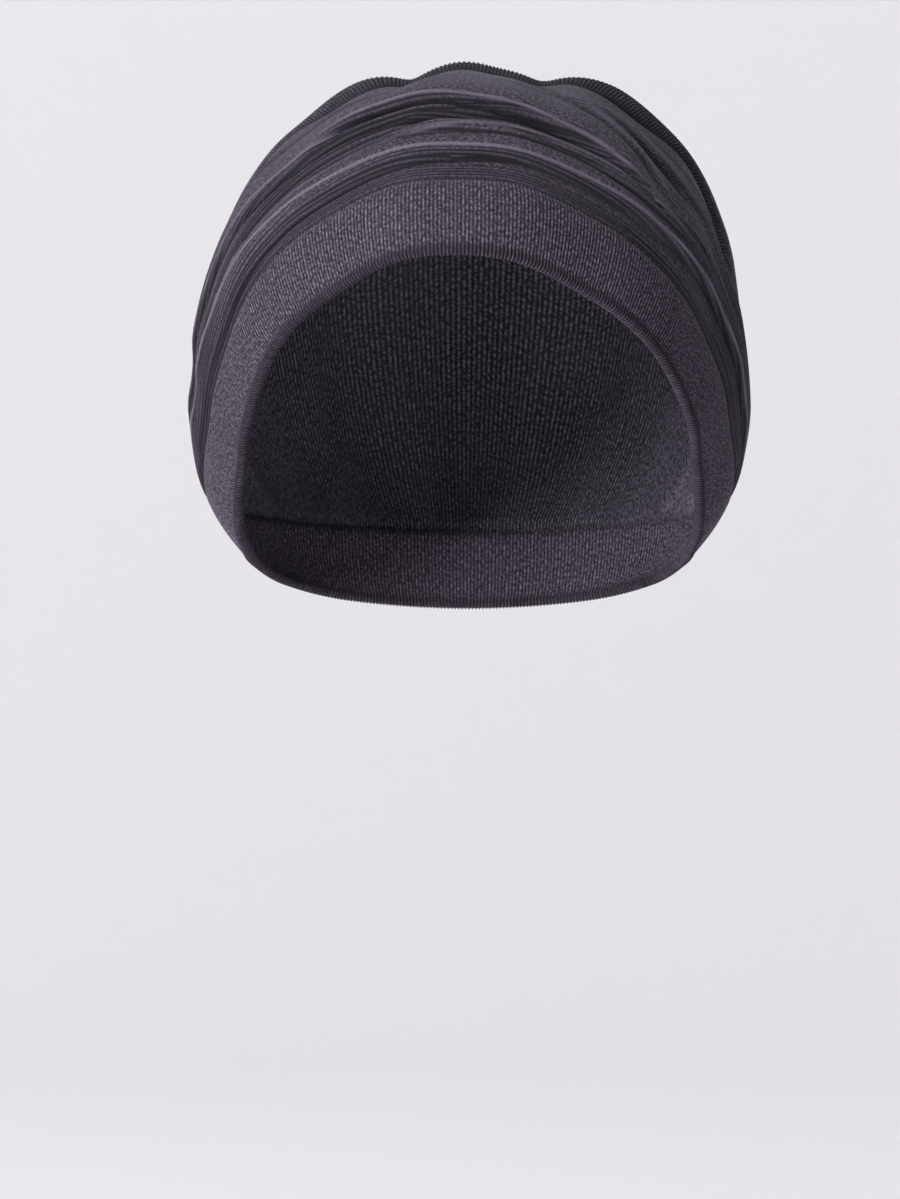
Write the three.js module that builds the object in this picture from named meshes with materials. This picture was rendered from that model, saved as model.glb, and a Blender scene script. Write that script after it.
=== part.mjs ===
// Turban headwrap in ribbed jersey, in the form that it has when worn: a folded head band round the
// face and nape, a front panel draped in rolls from ear to ear, and a back panel gathered at the nape.
// Millimetres, +Z up, +X to the viewer's right, +Y to the back of the head.
// The origin is the inside of the crown, where the top of a head touches.

import * as THREE from 'three';
import { mergeVertices } from 'three/addons/utils/BufferGeometryUtils.js';

// Head opening, measured from the ear line: the level of the ears' tops, above the middle of the head
const OPENING_WIDTH = 148.6; // across the band's front edge, at the ears
const BROW_REACH = 87; // from the ear line forward to the band's edge on the brow
const BROW_RISE = 52; // from the ear line up to that edge
const NAPE_REACH = 82; // from the ear line back to the band's lower edge on the nape
const NAPE_DROP = 58; // from the ear line down to that edge
const BAND_LEAN = 4.5; // sideways lean of the band's top, to the viewer's left
const LEAN_POWER = 1.3; // more than 1 gathers the lean towards the top

// Head band, a strip folded double
const BAND_WIDTH = 28;
const BAND_THICKNESS = 2.4;
const EDGE_ROLL = 3.4; // thickness of the fold along the front edge
const BAND_BOW = 1.3; // how far the strip's middle bows out over the head

// Crown
const CROWN_WIDTH = 182; // across the rear seam
const CROWN_RISE = 115.5; // from the ear line up to the rear seam
const CROWN_LEAN = 1.8; // sideways lean of the rear seam's top, to the viewer's right
const SEAM_SETBACK = 7; // from the middle of the head back to the rear seam's top
const SEAM_RAKE = 18; // how much further back that seam lies at the ears
const SEAM_MEET = 4; // length of its foot, where it stands on the band
const SEAM_TURN = 4; // power by which the arch turns into its foot: more turns it later
const CROWN_FULLNESS = 3.9; // how far the front panel swells between its seams
const SIDE_FULLNESS = 2.6; // how far it swells over the ears
const BACK_FULLNESS = 16; // how far the back panel swells behind the head
const BACK_SAG = 1.3; // power that moves that swell down towards the nape
const BACK_NARROWING = 1.2; // power by which it fades towards the ears
const CLOTH = 1.3; // wall of one layer of jersey
const GAP = 0.4; // between pieces that are sewn together

// Folds
const ROLL_RISE = 6; // height of the front panel's main roll
const GATHER_RISE = 1.7; // height of the back panel's gathers
const GATHER_DROP = 2.5; // power that moves them down towards the nape
const RIM_RISE = 3.4; // how far the back panel stands above the rear seam
const CREST_RISE = 2.4; // height of the waves along the crown's outline
const GATHERS = 6.5; // waves of the back panel on each side of its middle
const RIM_PLACE = 0.06; // crest of its rim behind the rear seam, as a share of its depth
const RIM_REACH = 0.55; // how far that rim runs down to the ears
const FLAT_HEM = 0.03; // depth of the front panel beside the band that stays free of folds

// Centre that the crown's panels turn about, between the ears, as shares of the nape's reach and drop
const HUB = { back: 0.3, down: 0.52 };
const SQUARENESS = 2.5; // exponent of the crown's outline: 2 is an ellipse, more is squarer

// Mesh steps
const BAND_STEPS = 64; // round the head
const ROLL_STEPS = 5; // round the band's folded edge
const BAND_FACE = [0.16, 0.45, 0.75, 1]; // across the band, as shares of its width
const FRONT_STEPS = 44; // ear to ear
const FOLDED_DEPTH = 0.44; // share of the front panel's depth that holds its sharp folds
const FOLDED_ROWS = 25; // over that share
const SMOOTH_ROWS = 9; // over the rest
const BACK_STEPS = 52; // ear to ear
const RIM_ROWS = [0, 0.5, 1, 1.7]; // behind the rear seam, in shares of RIM_PLACE
const RIM_END = 0.16; // depth of the first row past the rim
const BACK_ROWS = 10; // from there to the nape
const EVENNESS = 0.6; // of the steps from ear to ear: under 1 sets them closer over the crown
const SMALL_STEP = 0.002; // of a surface's parameters, to find its directions
const BAND_STEP = 0.05; // of a section, for the same on the band

// The band from brow to nape, a row per section of one half. Its front edge lies at out, along and up,
// as shares of the opening's half width, of the brow's or nape's reach, and of the brow's rise or the
// nape's drop. From there the strip goes up and back: width is a share of the band's, flare and rake
// are the angles in degrees by which it leans outward and backward.
const BAND_SECTIONS = [
  { name: 'brow', out: 0, along: -1, up: 1, width: 1, flare: 0, rake: 32 },
  { name: 'brow side', out: 0.28, along: -0.968, up: 0.945, width: 1, flare: 2, rake: 30 },
  { name: 'brow corner', out: 0.56, along: -0.84, up: 0.74, width: 0.98, flare: 11, rake: 31 },
  { name: 'upper temple', out: 0.715, along: -0.735, up: 0.58, width: 0.94, flare: 16, rake: 34 },
  { name: 'temple', out: 0.82, along: -0.63, up: 0.41, width: 0.91, flare: 20, rake: 39 },
  { name: 'lower temple', out: 0.9, along: -0.5, up: 0.2, width: 0.89, flare: 22, rake: 44 },
  { name: 'cheek', out: 0.955, along: -0.36, up: -0.02, width: 0.89, flare: 25, rake: 49 },
  { name: 'ear top', out: 0.975, along: -0.23, up: -0.2, width: 0.91, flare: 27, rake: 55 },
  { name: 'ear', out: 0.995, along: -0.085, up: -0.38, width: 0.92, flare: 28, rake: 54 },
  { name: 'ear lobe', out: 1, along: 0.09, up: -0.55, width: 0.89, flare: 29, rake: 48 },
  { name: 'behind ear', out: 0.975, along: 0.28, up: -0.67, width: 0.84, flare: 29, rake: 42 },
  { name: 'nape corner', out: 0.94, along: 0.49, up: -0.75, width: 0.84, flare: 21, rake: 37 },
  { name: 'nape side', out: 0.81, along: 0.71, up: -0.86, width: 0.93, flare: 11, rake: 32 },
  { name: 'nape middle', out: 0.51, along: 0.89, up: -0.955, width: 0.99, flare: 5, rake: 26 },
  { name: 'nape', out: 0, along: 1, up: -1, width: 1, flare: 0, rake: 21 },
];
const LAST_SECTION = BAND_SECTIONS.length - 1;
const JOIN_SECTION = 10; // where the rear seam stands on the band
const SEAM_SLANT = 0.345; // how far ahead of that its foot begins, in sections
const SMALLEST_FOLD = 0.14; // depth of the front panel, as a share of its middle's, where folds end
const LARGEST_FOLD = 0.34; // and where they have their full height
const SQUARE_FROM = 0.8; // towards an ear, where the panels' walls begin to turn square to the band
const SQUARE_TO = 0.95; // and where they are

// Folds of the front panel. Across the panel, at is the crest's place from the band seam 0 to the rear
// seam 1, wide its half width, and drift how much it climbs to the right. Along the panel, centre and
// reach are the fold's middle and half length, from ear -1 to ear 1. Rise and lean are shares of
// ROLL_RISE: out of the surface, and forward over the band, so that the roll hangs over what is below.
const FRONT_FOLDS = [
  { name: 'lower roll', at: 0.15, wide: 0.055, drift: 0, centre: 0, reach: 1, rise: 0.95, lean: 0.75 },
  { name: 'middle roll', at: 0.25, wide: 0.04, drift: 0, centre: 0.1, reach: 0.5, rise: 0.45, lean: 0.35 },
  { name: 'upper lip', at: 0.38, wide: 0.07, drift: 0, centre: 0.14, reach: 0.42, rise: 0.75, lean: 1 },
  { name: 'left roll', at: 0.38, wide: 0.09, drift: 0, centre: -0.42, reach: 0.24, rise: 0.5, lean: 0.5 },
  { name: 'panel', at: 0.52, wide: 0.2, drift: 0, centre: 0, reach: 0.7, rise: 0.35, lean: 0 },
  { name: 'pocket', at: 0.3, wide: 0.03, drift: 0, centre: 0.16, reach: 0.2, rise: -0.35, lean: 0 },
  { name: 'valley', at: 0.52, wide: 0.05, drift: -0.4, centre: 0.3, reach: 0.25, rise: -0.25, lean: 0 },
  { name: 'pinch', at: 0.5, wide: 0.3, drift: 0, centre: -0.69, reach: 0.05, rise: -0.5, lean: 0 },
];

// Waves along the crown's outline, from ear -1 to ear 1, as shares of CREST_RISE
const CREST_WAVES = [
  { name: 'left slope', at: -0.3, wide: 0.05, rise: -0.3 },
  { name: 'left shoulder', at: -0.18, wide: 0.055, rise: 0.7 },
  { name: 'left dip', at: -0.105, wide: 0.035, rise: -1 },
  { name: 'peak', at: -0.018, wide: 0.05, rise: 1.1 },
  { name: 'right dip', at: 0.115, wide: 0.04, rise: -1.2 },
  { name: 'right shoulder', at: 0.22, wide: 0.07, rise: 1.1 },
  { name: 'right slope', at: 0.38, wide: 0.1, rise: 0.7 },
];

const vec = (x, y, z) => new THREE.Vector3(x, y, z);
const bell = (distance, width) => Math.exp(-((distance / width) ** 2));
const plateau = (distance, width) => Math.exp(-(Math.abs(distance / width) ** 3));
const mix = THREE.MathUtils.lerp;
const radians = THREE.MathUtils.degToRad;
const smoothstep = THREE.MathUtils.smoothstep;

const HUB_POINT = vec(0, HUB.back * NAPE_REACH, -HUB.down * NAPE_DROP);

// Front edge of the band at one section
function edgeOf(section) {
  const reach = section.along < 0 ? BROW_REACH : NAPE_REACH;
  const rise = section.up > 0 ? BROW_RISE : NAPE_DROP;
  return vec((section.out * OPENING_WIDTH) / 2, section.along * reach, section.up * rise);
}

// From the band's front edge to its sewn edge at one section
function stripOf(section) {
  const flare = radians(section.flare);
  const rake = radians(section.rake);
  const inward = Math.cos(flare);
  const direction = vec(Math.sin(flare), inward * Math.sin(rake), inward * Math.cos(rake));
  return direction.multiplyScalar(section.width * BAND_WIDTH);
}

// Closed curve through one vector of each section, right half first, then its mirror image
function loopThrough(vectorOf) {
  const right = BAND_SECTIONS.map(vectorOf);
  const left = right.slice(1, LAST_SECTION).reverse();
  const mirrored = left.map((point) => vec(-point.x, point.y, point.z));
  return new THREE.CatmullRomCurve3([...right, ...mirrored], true, 'catmullrom');
}

const edgeLoop = loopThrough(edgeOf);
const stripLoop = loopThrough(stripOf);

// A place on the band: station counts sections from the brow, to the right if positive
function bandAt(station) {
  const turn = station / (2 * LAST_SECTION);
  const part = turn - Math.floor(turn);
  const edge = edgeLoop.getPoint(part);
  const strip = stripLoop.getPoint(part);
  const lean = -BAND_LEAN * Math.max(0, edge.z / BROW_RISE) ** LEAN_POWER;
  edge.x += lean;
  return { edge, strip, seam: edge.clone().add(strip) };
}

// Outward direction, forward along the loop and across the strip at one station
function bandFrame(station) {
  const middle = bandAt(station);
  const after = bandAt(station + BAND_STEP).edge;
  const forward = after.sub(bandAt(station - BAND_STEP).edge).normalize();
  const across = middle.strip.clone().normalize();
  const outward = forward.clone().cross(across).normalize();
  return { ...middle, forward, across, outward };
}

// Foot of the rear seam on the band, at one ear
function seamFoot(side) {
  const ahead = bandAt(side * (JOIN_SECTION - SEAM_SLANT));
  return ahead.seam.addScaledVector(ahead.strip.normalize(), SEAM_MEET);
}
const SEAM_FEET = { left: seamFoot(-1), right: seamFoot(1) };

// Rear seam over the crown, from ear -1 to ear 1
function rearSeam(u) {
  const out = Math.sin((Math.PI / 2) * u);
  const up = Math.cos((Math.PI / 2) * u);
  const sideways = Math.abs((2 * out) / CROWN_WIDTH) ** SQUARENESS;
  const upward = Math.abs(up / CROWN_RISE) ** SQUARENESS;
  const radius = (sideways + upward) ** (-1 / SQUARENESS);
  const arch = vec(radius * out + CROWN_LEAN * up, SEAM_SETBACK + SEAM_RAKE * (1 - up), radius * up);
  const wave = CREST_WAVES.reduce((sum, row) => sum + row.rise * bell(u - row.at, row.wide), 0);
  arch.addScaledVector(arch.clone().sub(HUB_POINT).normalize(), wave * CREST_RISE);
  return arch.lerp(u < 0 ? SEAM_FEET.left : SEAM_FEET.right, Math.abs(u) ** SEAM_TURN);
}

// Edge of a panel along the rear seam: the front panel's if side is -1, the back panel's if it is 1
const seamNormal = (u) => rearSeam(u).sub(HUB_POINT).normalize();
function seamEdge(u, side) {
  const tangent = rearSeam(Math.min(u + SMALL_STEP, 1)).sub(rearSeam(Math.max(u - SMALL_STEP, -1)));
  const away = seamNormal(u).cross(tangent).normalize();
  return rearSeam(u).addScaledVector(away, (side * GAP) / 2);
}

// A point between two seams, turned about the hub from the first to the second, and moved away from
// it sideways by side, and backward and upward by swell
function between(start, finish, share, side, swell) {
  const a = start.clone().sub(HUB_POINT);
  const b = finish.clone().sub(HUB_POINT);
  const angle = a.angleTo(b);
  const radius = mix(a.length(), b.length(), share);
  const direction = a.normalize().multiplyScalar(Math.sin((1 - share) * angle));
  direction.add(b.normalize().multiplyScalar(Math.sin(share * angle))).divideScalar(Math.sin(angle));
  const moved = vec(side, swell, swell).multiply(direction);
  return direction.multiplyScalar(radius).add(HUB_POINT).add(moved);
}

// Front panel without its folds, from ear -1 to ear 1 and from the band seam 0 to the rear seam 1
function frontBase(u, v) {
  const start = bandAt(JOIN_SECTION * u).seam;
  const finish = seamEdge(u, -1);
  const share = mix(GAP / start.distanceTo(finish), 1, v);
  const bow = Math.sin(Math.PI * share);
  const side = SIDE_FULLNESS * bow * Math.sin(Math.PI * u ** 2);
  return between(start, finish, share, side, CROWN_FULLNESS * bow * frontScale(u));
}

// Depth of the front panel at one place along it, as a share of its depth in the middle
const depthAt = (u) => bandAt(JOIN_SECTION * u).seam.distanceTo(rearSeam(u));
const MIDDLE_DEPTH = depthAt(0);
const frontScale = (u) => depthAt(u) / MIDDLE_DEPTH;

// Normal of a surface at one place, and the direction in which its second parameter grows
function surfaceFrame(point, u, v) {
  const alongU = point(Math.min(u + SMALL_STEP, 1), v).sub(point(Math.max(u - SMALL_STEP, -1), v));
  const alongV = point(u, Math.min(v + SMALL_STEP, 1)).sub(point(u, Math.max(v - SMALL_STEP, 0)));
  return { normal: alongU.cross(alongV).normalize(), along: alongV.normalize() };
}

// Front panel with its folds
function frontPoint(u, v) {
  const base = frontBase(u, v);
  const { normal, along } = surfaceFrame(frontBase, u, v);
  const scale = frontScale(u);
  const size = scale * smoothstep(scale, SMALLEST_FOLD, LARGEST_FOLD);
  let rise = 0;
  let lean = 0;
  for (const fold of FRONT_FOLDS) {
    const away = u - fold.centre;
    const crest = fold.at + fold.drift * away;
    const amount = plateau(v - crest, fold.wide) * plateau(away, fold.reach) * size;
    rise += fold.rise * amount;
    lean += fold.lean * amount;
  }
  const fade = Math.min(1, v / FLAT_HEM);
  base.addScaledVector(normal, rise * ROLL_RISE * fade);
  return base.addScaledVector(along, -lean * ROLL_RISE * fade);
}

// Back panel, from ear -1 to ear 1 and from the rear seam 0 to the nape seam 1
const napeStation = (u) => Math.sign(u) * (LAST_SECTION - (LAST_SECTION - JOIN_SECTION) * Math.abs(u));
function backBase(u, w) {
  const start = seamEdge(u, 1);
  const finish = bandAt(napeStation(u) || LAST_SECTION).seam;
  const share = mix(0, 1 - GAP / start.distanceTo(finish), w);
  const narrowing = Math.cos((Math.PI / 2) * u) ** BACK_NARROWING;
  const swell = BACK_FULLNESS * Math.sin(Math.PI * share ** BACK_SAG) * narrowing;
  return between(start, finish, share, 0, swell);
}

// Back panel with its puffed rim and its gathers
function backPoint(u, w) {
  const base = backBase(u, w);
  const { normal } = surfaceFrame(backBase, u, w);
  const narrowing = Math.cos((Math.PI / 2) * u);
  const rim = RIM_RISE * bell(w - RIM_PLACE, RIM_PLACE) * plateau(u, RIM_REACH);
  const wave = Math.cos(2 * Math.PI * GATHERS * u);
  const gather = GATHER_RISE * wave * Math.sin(Math.PI * w ** GATHER_DROP) * narrowing;
  return base.addScaledVector(normal, rim + gather);
}

// Directions through the wall of the two panels. Along their seams they are those of the piece that
// they are sewn to, so that the edges face each other squarely.
const footNormal = (u) => bandFrame(Math.sign(u) * JOIN_SECTION).outward;
function squareEnds(normal, u) {
  return normal.lerp(footNormal(u), smoothstep(Math.abs(u), SQUARE_FROM, SQUARE_TO)).normalize();
}

function frontNormal(u, v) {
  if (v === 0) return bandFrame(JOIN_SECTION * u).outward;
  const normal = v === 1 ? seamNormal(u) : surfaceFrame(frontPoint, u, v).normal;
  return squareEnds(normal, u);
}

function backNormal(u, w) {
  if (w === 1) return bandFrame(napeStation(u) || LAST_SECTION).outward;
  const normal = w === 0 ? seamNormal(u) : surfaceFrame(backPoint, u, w).normal;
  return squareEnds(normal, u);
}

// Closed solid from a list of points and triangles
function solid(points, triangles) {
  const geometry = new THREE.BufferGeometry();
  const positions = points.flatMap((point) => [point.x, point.y, point.z]);
  geometry.setAttribute('position', new THREE.Float32BufferAttribute(positions, 3));
  geometry.setIndex(triangles.flat());
  const merged = mergeVertices(geometry, 1e-4);
  merged.computeVertexNormals();
  return merged;
}

// Layer of cloth over a surface: both faces, joined round the edge
function clothSheet(surface, normalOf, across, down) {
  const points = [];
  for (const side of [0.5, -0.5]) {
    for (const u of across) {
      for (const v of down) {
        points.push(surface(u, v).addScaledVector(normalOf(u, v), side * CLOTH));
      }
    }
  }
  const rows = down.length;
  const layer = across.length * rows;
  const outer = (i, j) => i * rows + j;
  const inner = (i, j) => layer + i * rows + j;
  const triangles = [];
  const quad = (a, b, c, d) => triangles.push([a, b, c], [a, c, d]);
  for (let i = 0; i < across.length - 1; i += 1) {
    for (let j = 0; j < rows - 1; j += 1) {
      quad(outer(i, j), outer(i + 1, j), outer(i + 1, j + 1), outer(i, j + 1));
      quad(inner(i, j), inner(i, j + 1), inner(i + 1, j + 1), inner(i + 1, j));
    }
    quad(outer(i, 0), inner(i, 0), inner(i + 1, 0), outer(i + 1, 0));
    quad(outer(i, rows - 1), outer(i + 1, rows - 1), inner(i + 1, rows - 1), inner(i, rows - 1));
  }
  const last = across.length - 1;
  for (let j = 0; j < rows - 1; j += 1) {
    quad(outer(0, j), outer(0, j + 1), inner(0, j + 1), inner(0, j));
    quad(outer(last, j), inner(last, j), inner(last, j + 1), outer(last, j + 1));
  }
  return solid(points, triangles);
}

// Numbers from start to finish in equal steps, both ends included
const steps = (start, finish, count) =>
  Array.from({ length: count + 1 }, (_, i) => mix(start, finish, i / count));

// Places along a panel from ear to ear, closer together over the crown, where its outline shows
const EAR_TO_EAR = 1 - GAP / CROWN_WIDTH;
const spread = (t) => t * (EVENNESS + (1 - EVENNESS) * t * t);
const alongPanel = (count) => steps(-1, 1, count).map((t) => EAR_TO_EAR * spread(t));

// Section of the folded strip: across from the front edge, and out from the strip's middle plane
function bandSection(width) {
  const roll = EDGE_ROLL / 2;
  const half = BAND_THICKNESS / 2;
  const fold = steps(Math.PI / 2, (3 * Math.PI) / 2, ROLL_STEPS).map((angle) => ({
    across: roll + roll * Math.cos(angle),
    out: roll * Math.sin(angle),
  }));
  const face = BAND_FACE.map((share) => ({
    across: share * width,
    out: BAND_BOW * Math.sin(Math.PI * share),
  }));
  const outside = face.map((place) => ({ across: place.across, out: place.out + half })).reverse();
  const inside = face.map((place) => ({ across: place.across, out: place.out - half }));
  return [...fold, ...inside, ...outside];
}

function headBand() {
  const points = [];
  const triangles = [];
  const count = bandSection(BAND_WIDTH).length;
  for (let i = 0; i < BAND_STEPS; i += 1) {
    const frame = bandFrame((2 * LAST_SECTION * i) / BAND_STEPS);
    for (const place of bandSection(frame.strip.length())) {
      const point = frame.edge.clone().addScaledVector(frame.across, place.across);
      points.push(point.addScaledVector(frame.outward, place.out));
    }
    for (let j = 0; j < count; j += 1) {
      const next = ((i + 1) % BAND_STEPS) * count;
      const here = i * count;
      const above = (j + 1) % count;
      triangles.push([here + j, here + above, next + above], [here + j, next + above, next + j]);
    }
  }
  return solid(points, triangles);
}

function frontDrape() {
  const folded = steps(0, FOLDED_DEPTH, FOLDED_ROWS);
  const smooth = steps(FOLDED_DEPTH, 1, SMOOTH_ROWS).slice(1);
  return clothSheet(frontPoint, frontNormal, alongPanel(FRONT_STEPS), [...folded, ...smooth]);
}

function backPanel() {
  const rim = RIM_ROWS.map((share) => share * RIM_PLACE);
  const rows = [...rim, ...steps(RIM_END, 1, BACK_ROWS)];
  return clothSheet(backPoint, backNormal, alongPanel(BACK_STEPS), rows);
}

function piece(name, geometry, color) {
  const material = new THREE.MeshStandardMaterial({ color, roughness: 0.92, metalness: 0 });
  const mesh = new THREE.Mesh(geometry, material);
  mesh.name = name;
  return mesh;
}

const group = new THREE.Group();
group.add(piece('head_band', headBand(), 0x554e5c));
group.add(piece('front_drape', frontDrape(), 0x524d5a));
group.add(piece('back_panel', backPanel(), 0x4a4651));
group.position.z = -(CROWN_RISE - CLOTH / 2);

export default group;
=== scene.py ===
"""Turban headwrap in ribbed jersey: the knit surface of its three pieces, its colours and its studio.

Metres, +Z up, +X to the viewer's right, +Y to the back of the head. The origin is the inside of the
crown. Each piece is rebuilt finely over its solid, from the same sizes.
"""

import bpy
import numpy as np
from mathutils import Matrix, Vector


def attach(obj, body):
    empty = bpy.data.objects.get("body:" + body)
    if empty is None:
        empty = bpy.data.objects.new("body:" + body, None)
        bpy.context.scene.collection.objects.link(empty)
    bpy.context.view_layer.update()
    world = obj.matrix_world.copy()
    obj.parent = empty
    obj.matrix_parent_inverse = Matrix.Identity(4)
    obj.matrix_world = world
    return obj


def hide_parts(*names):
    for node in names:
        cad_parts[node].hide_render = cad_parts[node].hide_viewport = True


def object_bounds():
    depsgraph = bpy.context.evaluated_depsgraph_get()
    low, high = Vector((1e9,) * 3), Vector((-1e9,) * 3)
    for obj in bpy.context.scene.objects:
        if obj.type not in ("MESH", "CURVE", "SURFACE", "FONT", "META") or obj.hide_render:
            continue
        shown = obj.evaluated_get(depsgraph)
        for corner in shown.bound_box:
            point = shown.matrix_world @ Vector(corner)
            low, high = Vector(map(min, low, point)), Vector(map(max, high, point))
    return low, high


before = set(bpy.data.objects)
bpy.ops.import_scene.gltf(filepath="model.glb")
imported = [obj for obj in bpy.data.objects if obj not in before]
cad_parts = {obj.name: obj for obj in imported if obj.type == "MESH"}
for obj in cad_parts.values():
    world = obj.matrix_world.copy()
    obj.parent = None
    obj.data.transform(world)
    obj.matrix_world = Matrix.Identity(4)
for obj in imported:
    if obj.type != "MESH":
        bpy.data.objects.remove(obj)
CAD_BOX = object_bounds()

bl_info = {
    "name": "Turban headwrap",
    "version": (1, 0, 0),
    "blender": (4, 5, 0),
    "location": "3D View > Sidebar > Turban",
    "description": "Builds a draped turban headwrap in ribbed jersey",
    "category": "Object",
}

MM = 0.001

# Head opening, measured from the ear line: the level of the ears' tops, above the middle of the head
OPENING_WIDTH = 148.6 * MM  # across the band's front edge, at the ears
BROW_REACH = 87 * MM  # from the ear line forward to the band's edge on the brow
BROW_RISE = 52 * MM  # from the ear line up to that edge
NAPE_REACH = 82 * MM  # from the ear line back to the band's lower edge on the nape
NAPE_DROP = 58 * MM  # from the ear line down to that edge
BAND_LEAN = 4.5 * MM  # sideways lean of the band's top, to the viewer's left
LEAN_POWER = 1.3  # more than 1 gathers the lean towards the top

# Head band, a strip folded double
BAND_WIDTH = 28 * MM  # of the folded strip
BAND_THICKNESS = 2.4 * MM  # of its two layers
EDGE_ROLL = 3.4 * MM  # thickness of the fold along the front edge
BAND_BOW = 1.3 * MM  # how far the strip's middle bows out over the head

# Crown
CROWN_WIDTH = 182 * MM  # across the rear seam
CROWN_RISE = 115.5 * MM  # from the ear line up to the rear seam
CROWN_LEAN = 1.8 * MM  # sideways lean of the rear seam's top, to the viewer's right
SEAM_SETBACK = 7 * MM  # from the middle of the head back to the rear seam's top
SEAM_RAKE = 18 * MM  # how much further back that seam lies at the ears
SEAM_MEET = 4 * MM  # length of its foot, where it stands on the band
SEAM_TURN = 4  # power by which the arch turns into its foot: more turns it later
CROWN_FULLNESS = 3.9 * MM  # how far the front panel swells between its seams
SIDE_FULLNESS = 2.6 * MM  # how far it swells to the sides
BACK_FULLNESS = 16 * MM  # how far the back panel swells behind the head
BACK_SAG = 1.3  # power that moves that swell down towards the nape
BACK_NARROWING = 1.2  # power by which it fades towards the ears
SOLID_CLOTH = 1.3 * MM  # wall of the solids
GAP = 0.4 * MM  # between pieces that are sewn together
ORIGIN_RISE = CROWN_RISE - SOLID_CLOTH / 2  # of the origin, the inside of the crown, above the ear line

# Folds
GATHERS = 6.5  # waves of the back panel on each side of its middle
GATHER_DROP = 2.5  # power that moves them down towards the nape
CREST_RISE = 2.4 * MM  # height of the waves along the crown's outline
RIM_RISE = 3.4 * MM  # how far the back panel's rim stands above the rear seam
RIM_PLACE = 0.06  # depth of the panel at the end of the rim's crest
RIM_CENTRE = 0.1  # middle of the rim along the seam, from ear -1 to ear 1
RIM_REACH = 0.5  # how far it runs from there towards the ears
FLAT_HEM = 0.03  # depth of the front panel, from the band, over which its folds come up
SMALLEST_FOLD = 0.14  # depth of the front panel, as a share of its middle's, where folds end
LARGEST_FOLD = 0.34  # and where they have their full height
FOLD_FADE = 0.22  # share of a fold over which it comes up at each end
CREASE_FADE = (-0.1, 0.3)  # the same for a crease
CREASE_SPAN = 150 * MM  # from the middle to an ear, over the part of the panel that has creases

# Point that both panels turn about, back and down from the ears, as shares of the nape's reach and drop
HUB_BACK = 0.3
HUB_DOWN = 0.52
SQUARENESS = 2.5  # exponent of the crown's outline: 2 is an ellipse, more is squarer

# The band from brow to nape: name, out, along, up, width, flare and rake, as in the solids
BAND_SECTIONS = (
    ("brow", 0, -1, 1, 1, 0, 32),
    ("brow side", 0.28, -0.968, 0.945, 1, 2, 30),
    ("brow corner", 0.56, -0.84, 0.74, 0.98, 11, 31),
    ("upper temple", 0.715, -0.735, 0.58, 0.94, 16, 34),
    ("temple", 0.82, -0.63, 0.41, 0.91, 20, 39),
    ("lower temple", 0.9, -0.5, 0.2, 0.89, 22, 44),
    ("cheek", 0.955, -0.36, -0.02, 0.89, 25, 49),
    ("ear top", 0.975, -0.23, -0.2, 0.91, 27, 55),
    ("ear", 0.995, -0.085, -0.38, 0.92, 28, 54),
    ("ear lobe", 1, 0.09, -0.55, 0.89, 29, 48),
    ("behind ear", 0.975, 0.28, -0.67, 0.84, 29, 42),
    ("nape corner", 0.94, 0.49, -0.75, 0.84, 21, 37),
    ("nape side", 0.81, 0.71, -0.86, 0.93, 11, 32),
    ("nape middle", 0.51, 0.89, -0.955, 0.99, 5, 26),
    ("nape", 0, 1, -1, 1, 0, 21),
)
HALF_TURN = len(BAND_SECTIONS) - 1  # sections from brow to nape
FULL_TURN = 2 * HALF_TURN
JOIN_SECTION = 10  # where the rear seam stands on the band
SEAM_SLANT = 0.345  # how far ahead of that its foot begins, in sections

# Folds of the front panel, a row for each: name; the places along the panel where it starts and ends, from
# ear -1 to ear 1; the places across it, from band 0 to rear seam 1, of its foot and of its ridge, each at
# the fold's start, middle and end; how many millimetres it takes to fall away above the ridge; and its rise
# and the lean of its ridge over its foot, as shares of the roll height. A valley's rise is negative.
FOLDS = (
    ("lower roll", -1.3, 1.3, (0.125, 0.085, 0.45), (0.74, 0.145, 0.7), 9, 0.64, 0.34),
    ("middle roll", -0.14, 0.42, (0.19, 0.22, 0.2), (0.23, 0.27, 0.25), 3, 0.35, 0.2),
    ("upper lip", -0.25, 0.34, (0.355, 0.365, 0.21), (0.4, 0.405, 0.26), 12, 0.68, 0.72),
    ("left lip", -0.95, 0.05, (0.66, 0.395, 0.33), (0.74, 0.45, 0.37), 14, 0.4, 0.15),
    ("left valley", -0.95, 0, (0.5, 0.25, 0.24), (0.6, 0.31, 0.28), 4, -0.3, 0),
    ("pocket", -0.1, 0.24, (0.285, 0.3, 0.27), (0.31, 0.33, 0.3), 1.5, -0.7, 0),
)

# Broad forms of the front panel: name, at, wide, drift, centre, reach and rise, as in the solids
BROAD_FORMS = (
    ("panel", 0.52, 0.2, 0, 0, 0.7, 0.35),
    ("valley", 0.52, 0.05, -0.4, 0.3, 0.25, -0.15),
    ("pinch", 0.5, 0.3, 0, -0.69, 0.05, -0.5),
)

# Where the front panel's ribs lie close and deep besides the undersides of its folds, with painted shade in
# their colour: name, start and end along the panel, places across at the start, middle and end, and reach
# across in millimetres
RIBBED_ZONES = (
    ("left valley", -1.2, 0.05, (0.66, 0.36, 0.27), 8),
    ("under the lip", -0.15, 0.3, (0.31, 0.325, 0.26), 4),
    ("hem", -1.5, 1.5, (0.03, 0.03, 0.03), 2.2),
    ("low right", 0.1, 1.3, (0.24, 0.3, 0.6), 4),
    ("shaded shoulder", -0.5, -0.02, (0.7, 0.62, 0.56), 5),
)

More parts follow.
